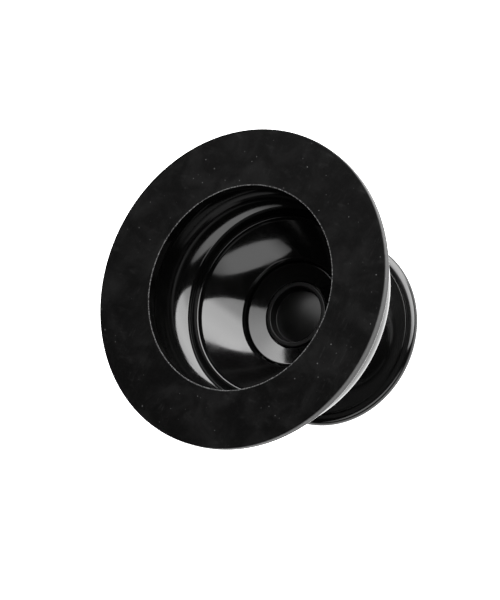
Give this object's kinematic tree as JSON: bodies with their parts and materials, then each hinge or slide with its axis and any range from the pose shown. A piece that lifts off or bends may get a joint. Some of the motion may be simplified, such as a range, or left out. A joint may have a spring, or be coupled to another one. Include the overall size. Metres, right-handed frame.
{
  "type": "sink stopper",
  "caption": "Round sink stopper for a disposer drain: flat rubber seal ring on a hollow glossy bell with a dished floor, a short neck and a round grip disc.",
  "frame": {"origin": "centre of the grip's flat end, on which the stopper stands when it is put down", "axes": "+Z along the axis of revolution, from the grip to the seal ring, so the open underside faces up; in the drain +Z points down"},
  "size_m": [0.086, 0.086, 0.057],
  "materials": {
    "rubber": "matte black, slightly dusty",
    "gloss_black": "moulded, polished, black",
    "steel": "stainless",
    "brass": "machined"
  },
  "bodies": {
    "root": {"seal_ring": "rubber", "bell_body": "gloss_black", "inner_dish": "gloss_black", "neck_hub": "gloss_black", "hub_o_ring": "rubber", "centre_cap": "gloss_black", "screw": "steel", "screw_washer": "steel", "threaded_insert": "brass", "grip_disc": "gloss_black", "grip_end_cap": "gloss_black"}
  },
  "joints": []
}
